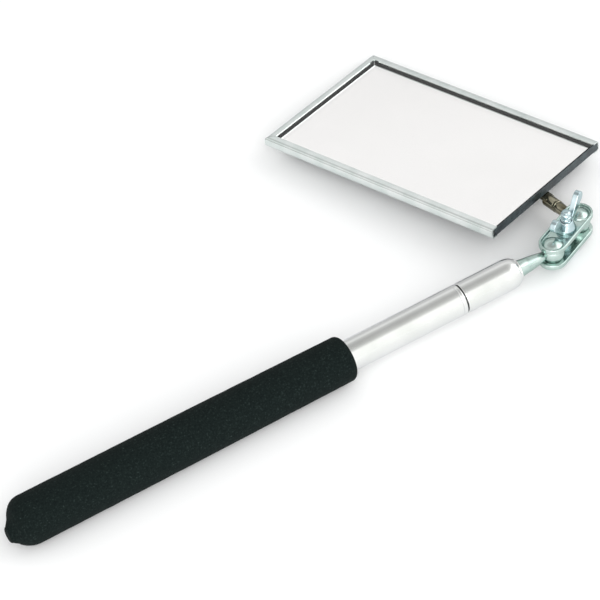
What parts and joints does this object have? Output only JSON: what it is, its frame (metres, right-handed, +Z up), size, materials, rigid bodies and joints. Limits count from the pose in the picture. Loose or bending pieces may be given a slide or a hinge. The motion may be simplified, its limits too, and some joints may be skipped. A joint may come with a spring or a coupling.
{
  "type": "telescoping inspection mirror",
  "caption": "Hand mirror for looking behind things: framed rectangular glass on a ball-jointed clamp with a wing nut, on a telescoping tube with a foam grip.",
  "frame": {"origin": "on the table plane, below the middle of the tool's bounding box", "axes": "+X along the handle from its butt towards the clamp, +Z up from the table; the mirror lies on the +Y side"},
  "size_m": [0.2282, 0.1254, 0.0195],
  "materials": {
    "cushion_grip": "matt closed-cell foam with fine pores",
    "handle_tube": "bright plated tube",
    "tube_end_plug": "plain moulded, hidden under the grip",
    "friction_bush": "plain turned, hidden in the tube",
    "inner_tube": "bright plated tube",
    "head_sleeve": "bright plated tube, rolled mouth",
    "sleeve_plug": "turned, hidden in the sleeve",
    "handle_stud": "clear zinc plate",
    "handle_ball": "clear zinc plate",
    "lower_plate": "pressed sheet, clear zinc plate",
    "upper_plate": "pressed sheet, clear zinc plate",
    "clamp_screw": "threaded, clear zinc plate",
    "wing_nut": "cast, clear zinc plate",
    "mirror_ball": "clear zinc plate",
    "mirror_stud": "dull yellow zinc plate",
    "stud_tang": "dull yellow zinc plate",
    "frame_channel": "bright folded strip",
    "back_plate": "plain sheet",
    "silver_layer": "mirror silvering",
    "mirror_glass": "clear float glass",
    "pivot_rivet": "headed rivet",
    "pivot_washer": "plain sheet"
  },
  "bodies": {
    "handle": {"cushion_grip": "cushion_grip", "handle_tube": "handle_tube", "tube_end_plug": "tube_end_plug"},
    "bush": {"friction_bush": "friction_bush"},
    "head": {"inner_tube": "inner_tube", "head_sleeve": "head_sleeve", "sleeve_plug": "sleeve_plug", "handle_stud": "handle_stud"},
    "handle_ball": {"handle_ball": "handle_ball"},
    "clamp": {"lower_plate": "lower_plate", "clamp_screw": "clamp_screw"},
    "top_plate": {"upper_plate": "upper_plate"},
    "nut": {"wing_nut": "wing_nut"},
    "mirror_ball": {"mirror_ball": "mirror_ball"},
    "stud": {"mirror_stud": "mirror_stud"},
    "bracket": {"stud_tang": "stud_tang"},
    "mirror": {"frame_channel": "frame_channel", "back_plate": "back_plate", "silver_layer": "silver_layer", "mirror_glass": "mirror_glass", "pivot_rivet": "pivot_rivet", "pivot_washer": "pivot_washer"}
  },
  "joints": [
    {"name": "tube_slide", "type": "slide", "parent": "handle", "child": "bush", "axis": [1, 0, 0], "range_m": [0, 0.11]},
    {"name": "tube_turn", "type": "hinge", "parent": "bush", "child": "head", "pos_m": [0.07457, -0.05496, 0.00775], "axis": [1, 0, 0], "continuous": true},
    {"name": "handle_ball_tilt", "type": "hinge", "parent": "head", "child": "handle_ball", "pos_m": [0.07457, -0.05496, 0.00775], "axis": [0, 1, 0], "range_deg": [-12, 2.8]},
    {"name": "handle_ball_swing", "type": "hinge", "parent": "handle_ball", "child": "clamp", "pos_m": [0.07457, -0.05496, 0.00775], "axis": [0.0856, 0, 0.9963], "range_deg": [-138, 22]},
    {"name": "plate_lift", "type": "slide", "parent": "clamp", "child": "top_plate", "axis": [0.0856, 0, 0.9963], "range_m": [0, 0.00159]},
    {"name": "wing_nut_turn", "type": "hinge", "parent": "top_plate", "child": "nut", "pos_m": [0.08179, -0.05124, 0.00713], "axis": [0.0856, 0, 0.9963], "range_deg": [0, 720]},
    {"name": "mirror_ball_swing", "type": "hinge", "parent": "clamp", "child": "mirror_ball", "pos_m": [0.08901, -0.04753, 0.00651], "axis": [0.0856, 0, 0.9963], "range_deg": [-90, 16]},
    {"name": "mirror_ball_tilt", "type": "hinge", "parent": "mirror_ball", "child": "stud", "pos_m": [0.08901, -0.04753, 0.00651], "axis": [-0.992, -0.0936, 0.0852], "range_deg": [-14, 5.5]},
    {"name": "mirror_spin", "type": "hinge", "parent": "stud", "child": "bracket", "pos_m": [0.08901, -0.04753, 0.00651], "axis": [-0.0995, 0.9927, -0.0676], "continuous": true},
    {"name": "mirror_pivot", "type": "hinge", "parent": "bracket", "child": "mirror", "pos_m": [0.0861, -0.01845, 0.00453], "axis": [0.0713, 0.0749, 0.9946], "range_deg": [-29.5, 0.9]}
  ],
  "couplings": [
    {"joint": "wing_nut_turn", "follows": "plate_lift", "rad_per_m": 7913.3}
  ]
}
